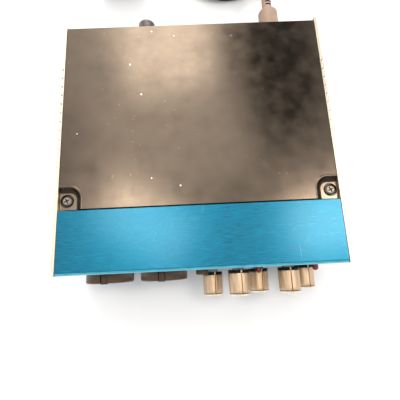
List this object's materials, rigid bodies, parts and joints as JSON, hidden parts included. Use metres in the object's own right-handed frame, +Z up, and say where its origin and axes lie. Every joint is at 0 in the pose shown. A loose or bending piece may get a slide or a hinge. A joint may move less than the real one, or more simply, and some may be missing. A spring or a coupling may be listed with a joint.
{
  "type": "microphone preamp",
  "caption": "Compact desktop microphone preamp with blue front panel, combo input jacks, metal knobs, grooved side rails and a coiled power lead",
  "frame": {"origin": "on the surface it stands on, under the middle of the preamp's own box (knobs and rear jacks included, power lead left out)", "axes": "+Z up, front panel faces -Y, +X to the right as seen from the front"},
  "size_m": [0.1406, 0.2688, 0.047],
  "materials": {
    "rail_metal": "satin machined",
    "cover_black": "satin fine texture",
    "panel_blue": "blue anodised, brushed across",
    "knob_metal": "satin with fine lengthwise lines",
    "knob_black": "matte",
    "screw_metal": "bright plated",
    "jack_plastic": "semi-gloss moulded",
    "connector_metal": "black satin die-cast",
    "pin_metal": "gold plated",
    "lamp_red": "translucent red",
    "button_plastic": "satin",
    "tab_plastic": "satin",
    "switch_plastic": "moulded",
    "rocker_red": "moulded",
    "board_green": "solder mask",
    "cable_grey": "satin",
    "can_metal": "drawn can",
    "capacitor_sleeve": "shrink sleeve",
    "chip_black": "moulded",
    "pot_case": "moulded",
    "shaft_metal": "turned",
    "standoff_brass": "hexagonal",
    "nut_metal": "nickel plated",
    "foot_rubber": "matte",
    "plug_plastic": "satin moulded",
    "cord_black": "soft sheath",
    "adaptor_black": "fine texture"
  },
  "bodies": {
    "case": {"side_rail_left": "rail_metal", "side_rail_right": "rail_metal", "top_cover": "cover_black", "bottom_cover": "cover_black", "front_panel": "panel_blue", "rear_panel": "cover_black", "cover_screws": "screw_metal", "underside_screws": "screw_metal", "rear_screws": "screw_metal", "feet": "foot_rubber", "main_board": "board_green", "standoffs": "standoff_brass", "board_screws": "screw_metal", "control_board": "board_green", "ribbon_cable": "cable_grey", "transformers": "can_metal", "capacitors": "capacitor_sleeve", "amplifier_chips": "chip_black", "phantom_switch": "switch_plastic", "jack_nuts": "nut_metal", "xlr_pins": "pin_metal", "rocker_frame": "switch_plastic", "power_inlet": "switch_plastic", "combo_jack_1": "jack_plastic", "combo_jack_2": "jack_plastic", "level_lamp_1": "lamp_red", "level_lamp_2": "lamp_red", "rear_jack_1": "jack_plastic", "rear_jack_2": "jack_plastic", "xlr_out_1": "connector_metal", "xlr_out_2": "connector_metal", "pot_body_1": "pot_case", "pot_body_2": "pot_case", "pot_body_3": "pot_case", "pot_body_4": "pot_case", "pot_body_5": "pot_case", "power_plug": "plug_plastic", "strain_relief": "plug_plastic", "power_cord": "cord_black", "cord_coil": "cord_black", "wall_adaptor": "adaptor_black"},
    "control_1": {"pot_shaft_1": "shaft_metal", "knob_core_1": "knob_black", "knob_1": "knob_metal"},
    "control_2": {"pot_shaft_2": "shaft_metal", "knob_core_2": "knob_black", "knob_2": "knob_metal"},
    "control_3": {"pot_shaft_3": "shaft_metal", "knob_core_3": "knob_black", "knob_3": "knob_metal"},
    "control_4": {"pot_shaft_4": "shaft_metal", "knob_core_4": "knob_black", "knob_4": "knob_metal"},
    "control_5": {"pot_shaft_5": "shaft_metal", "knob_core_5": "knob_black", "knob_5": "knob_metal"},
    "push_button": {"phantom_button": "button_plastic"},
    "release_tab_1": {"combo_latch_1": "tab_plastic"},
    "release_tab_2": {"combo_latch_2": "tab_plastic"},
    "power_rocker": {"rocker": "rocker_red"}
  },
  "joints": [
    {"name": "control_1_turn", "type": "hinge", "parent": "case", "child": "control_1", "pos_m": [0.0056, -0.06445, 0.0155], "axis": [0, 1, 0], "range_deg": [-162, 138]},
    {"name": "control_2_turn", "type": "hinge", "parent": "case", "child": "control_2", "pos_m": [0.0184, -0.06445, 0.0302], "axis": [0, 1, 0], "range_deg": [-158, 142]},
    {"name": "control_3_turn", "type": "hinge", "parent": "case", "child": "control_3", "pos_m": [0.0312, -0.06445, 0.0155], "axis": [0, 1, 0], "range_deg": [-162, 138]},
    {"name": "control_4_turn", "type": "hinge", "parent": "case", "child": "control_4", "pos_m": [0.044, -0.06445, 0.0302], "axis": [0, 1, 0], "range_deg": [-147, 153]},
    {"name": "control_5_turn", "type": "hinge", "parent": "case", "child": "control_5", "pos_m": [0.0568, -0.06445, 0.0155], "axis": [0, 1, 0], "range_deg": [-162, 138]},
    {"name": "push_button_press", "type": "slide", "parent": "case", "child": "push_button", "axis": [0, 1, 0], "range_m": [0, 0.0018], "stiffness_N_per_m": 500, "springref_m": -0.001},
    {"name": "release_tab_1_press", "type": "slide", "parent": "case", "child": "release_tab_1", "axis": [0, 1, 0], "range_m": [0, 0.0015], "stiffness_N_per_m": 800, "springref_m": -0.0005},
    {"name": "release_tab_2_press", "type": "slide", "parent": "case", "child": "release_tab_2", "axis": [0, 1, 0], "range_m": [0, 0.0015], "stiffness_N_per_m": 800, "springref_m": -0.0005},
    {"name": "power_rocker_tip", "type": "hinge", "parent": "case", "child": "power_rocker", "pos_m": [0.025, 0.06695, 0.0243], "axis": [1, 0, 0], "range_deg": [-16, 0]}
  ]
}
